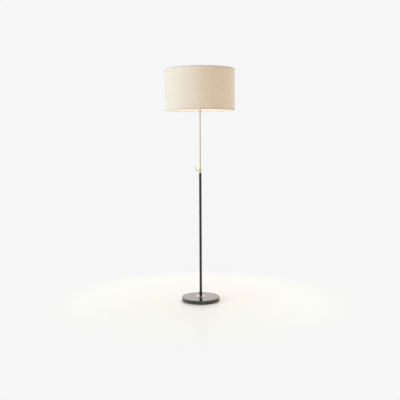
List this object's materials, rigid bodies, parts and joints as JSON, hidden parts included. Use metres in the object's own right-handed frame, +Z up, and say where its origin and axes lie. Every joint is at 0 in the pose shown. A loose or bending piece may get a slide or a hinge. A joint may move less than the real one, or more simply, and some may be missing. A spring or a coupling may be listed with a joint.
{
  "type": "telescopic floor lamp",
  "caption": "Floor lamp with a round stone base, a black tube, a brass mast that slides and turns under a lever clamp, and a linen drum shade.",
  "frame": {"origin": "middle of the base's underside, on the floor, under the column's axis", "axes": "+Z up the column; the clamp's lever points to -X and the switch's knob to -Y, the pictured front"},
  "size_m": [0.4513, 0.4514, 1.51],
  "materials": {
    "felt": "pressed wool felt, glued on",
    "polished_stone": "polished black marble with fine pale veins",
    "zinc_plated_steel": "zinc plated",
    "black_steel": "satin black powder coat",
    "polished_brass": "polished and lacquered",
    "white_nylon": "natural nylon",
    "black_rubber": "moulded, matt",
    "black_moulding": "black phenolic moulding",
    "insulating_paper": "brown insulating board",
    "nickel_plate": "nickel plated",
    "opal_glass": "opal inside, lit warm",
    "natural_linen": "plain-woven natural linen",
    "white_lining": "white laminated lining",
    "white_wire": "white epoxy coat"
  },
  "bodies": {
    "stand": {"felt_pad": "felt", "stone_base": "polished_stone", "backing_plate": "zinc_plated_steel", "base_washer": "zinc_plated_steel", "base_nut": "zinc_plated_steel", "foot_nipple": "zinc_plated_steel", "cord_bush": "black_rubber", "base_rosette": "polished_brass", "foot_ferrule": "black_steel", "ferrule_grub_screw": "zinc_plated_steel", "lower_tube": "black_steel", "clamp_collar": "polished_brass", "guide_bush": "white_nylon"},
    "clamp_pad": {"clamp_pad": "polished_brass"},
    "clamp_lever": {"clamp_lever": "polished_brass"},
    "glide": {"glide_bush": "white_nylon"},
    "switch": {"switch_shaft": "nickel_plate", "switch_knob": "black_moulding"},
    "mast": {"mast_tube": "polished_brass", "mast_plug": "zinc_plated_steel", "stop_ring": "zinc_plated_steel", "mast_coupling": "polished_brass", "holder_nipple": "zinc_plated_steel", "harp_saddle": "polished_brass", "harp_wire": "polished_brass", "harp_sleeves": "polished_brass", "harp_stud": "polished_brass", "holder_cap": "polished_brass", "holder_shell": "polished_brass", "holder_paper": "insulating_paper", "holder_body": "black_moulding", "terminal_screws": "nickel_plate", "screw_shell": "nickel_plate", "centre_contact": "nickel_plate", "bulb_contact": "nickel_plate", "bulb_insulator": "black_moulding", "bulb_cap": "nickel_plate", "bulb_glass": "opal_glass", "shade_linen": "natural_linen", "shade_lining": "white_lining", "shade_top_ring": "white_wire", "shade_foot_ring": "white_wire", "shade_spider": "white_wire", "shade_top_trim": "natural_linen", "shade_foot_trim": "natural_linen", "finial": "polished_brass"}
  },
  "joints": [
    {"name": "mast_slide", "type": "slide", "parent": "stand", "child": "glide", "axis": [0, 0, 1], "range_m": [-0.36, 0.15]},
    {"name": "mast_swivel", "type": "hinge", "parent": "glide", "child": "mast", "pos_m": [0, 0, 0.6], "axis": [0, 0, 1], "range_deg": [-170, 170]},
    {"name": "clamp_feed", "type": "slide", "parent": "stand", "child": "clamp_pad", "axis": [1, 0, 0], "range_m": [-0.0004, 0]},
    {"name": "clamp_turn", "type": "hinge", "parent": "clamp_pad", "child": "clamp_lever", "pos_m": [-0.012, 0, 0.8575], "axis": [1, 0, 0], "range_deg": [-180, 0]},
    {"name": "switch_turn", "type": "hinge", "parent": "mast", "child": "switch", "pos_m": [0, -0.02, 1.289], "axis": [0, -1, 0], "continuous": true}
  ],
  "couplings": [
    {"joint": "clamp_feed", "follows": "clamp_turn", "m_per_rad": 0.00012732}
  ]
}
